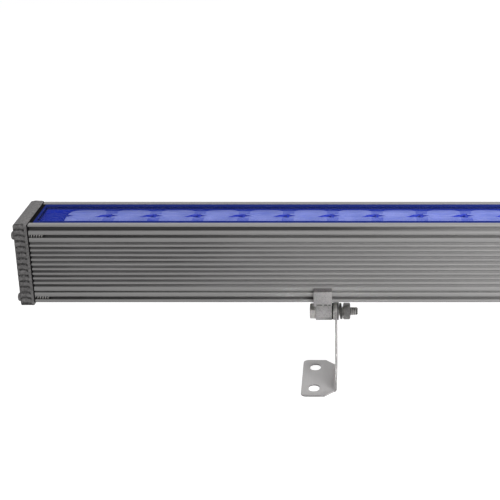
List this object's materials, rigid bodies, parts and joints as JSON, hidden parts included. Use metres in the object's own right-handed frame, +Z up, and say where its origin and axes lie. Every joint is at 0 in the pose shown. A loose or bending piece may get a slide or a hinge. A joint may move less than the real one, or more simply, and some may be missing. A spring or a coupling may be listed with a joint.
{
  "type": "outdoor wall washer light",
  "caption": "Long finned aluminium bar lamp with a row of LED lenses under a glass on top, on two L brackets whose clips slide along it.",
  "frame": {"origin": "on the surface the two feet stand on, under the middle of the lamp", "axes": "+X along the lamp towards the cable gland, -Y the front face of the picture, +Z up, the way the light shines"},
  "size_m": [1.0145, 0.07, 0.1616],
  "materials": {
    "anodised_extrusion": "satin natural anodising with fine draw lines along the length",
    "cast_cap": "grainy sand-cast grey, matt",
    "black_rubber": "matt black",
    "screw_steel": "bright zinc plate",
    "cover_glass": "clear toughened glass, blue in the lamp's colour",
    "lens_plastic": "moulded acrylic",
    "frame_plastic": "satin moulding",
    "led_phosphor": "silicone dome",
    "led_board": "white solder mask on aluminium",
    "red_wire": "insulation",
    "driver_board": "green solder mask",
    "coil_copper": "enamelled winding",
    "capacitor_sleeve": "shrink sleeve",
    "terminal_plastic": "moulded",
    "gland_nylon": "dark grey nylon",
    "blasted_clip": "blasted, matt and grainy",
    "bolt_steel": "plain stainless",
    "spring_steel": "dark spring steel",
    "bracket_steel": "satin stainless sheet"
  },
  "bodies": {
    "lamp": {"housing": "anodised_extrusion", "left_end_cap": "cast_cap", "right_end_cap": "cast_cap", "left_cap_gasket": "black_rubber", "right_cap_gasket": "black_rubber", "left_cap_screws": "screw_steel", "right_cap_screws": "screw_steel", "cover_glass": "cover_glass", "glass_gasket": "black_rubber", "glass_end_seals": "black_rubber", "lenses": "lens_plastic", "lens_frames": "frame_plastic", "led_emitters": "led_phosphor", "led_boards": "led_board", "board_screws": "screw_steel", "link_wires": "red_wire", "feed_wires": "red_wire", "wire_grommet": "black_rubber", "driver_board": "driver_board", "driver_coils": "coil_copper", "driver_capacitors": "capacitor_sleeve", "driver_heat_sink": "anodised_extrusion", "driver_terminals": "terminal_plastic", "gland_body": "gland_nylon", "gland_ring": "black_rubber", "gland_locknut": "gland_nylon", "gland_seal": "black_rubber", "gland_nut": "gland_nylon"},
    "left_slider": {"left_clip": "blasted_clip", "left_clip_pads": "black_rubber", "left_pivot_bolt": "bolt_steel", "left_friction_ring": "black_rubber", "left_inner_washer": "bolt_steel", "left_outer_washer": "bolt_steel", "left_spring_washer": "spring_steel", "left_nut": "bolt_steel"},
    "left_leg": {"left_bracket": "bracket_steel"},
    "right_slider": {"right_clip": "blasted_clip", "right_clip_pads": "black_rubber", "right_pivot_bolt": "bolt_steel", "right_friction_ring": "black_rubber", "right_inner_washer": "bolt_steel", "right_outer_washer": "bolt_steel", "right_spring_washer": "spring_steel", "right_nut": "bolt_steel"},
    "right_leg": {"right_bracket": "bracket_steel"}
  },
  "joints": [
    {"name": "left_clip_slide", "type": "slide", "parent": "lamp", "child": "left_slider", "axis": [1, 0, 0], "range_m": [-0.22, 0.18]},
    {"name": "left_leg_tilt", "type": "hinge", "parent": "left_slider", "child": "left_leg", "pos_m": [-0.22915, 0, 0.0675], "axis": [1, 0, 0], "range_deg": [-90, 90]},
    {"name": "right_clip_slide", "type": "slide", "parent": "lamp", "child": "right_slider", "axis": [-1, 0, 0], "range_m": [-0.22, 0.18]},
    {"name": "right_leg_tilt", "type": "hinge", "parent": "right_slider", "child": "right_leg", "pos_m": [0.22915, 0, 0.0675], "axis": [1, 0, 0], "range_deg": [-90, 90]}
  ]
}
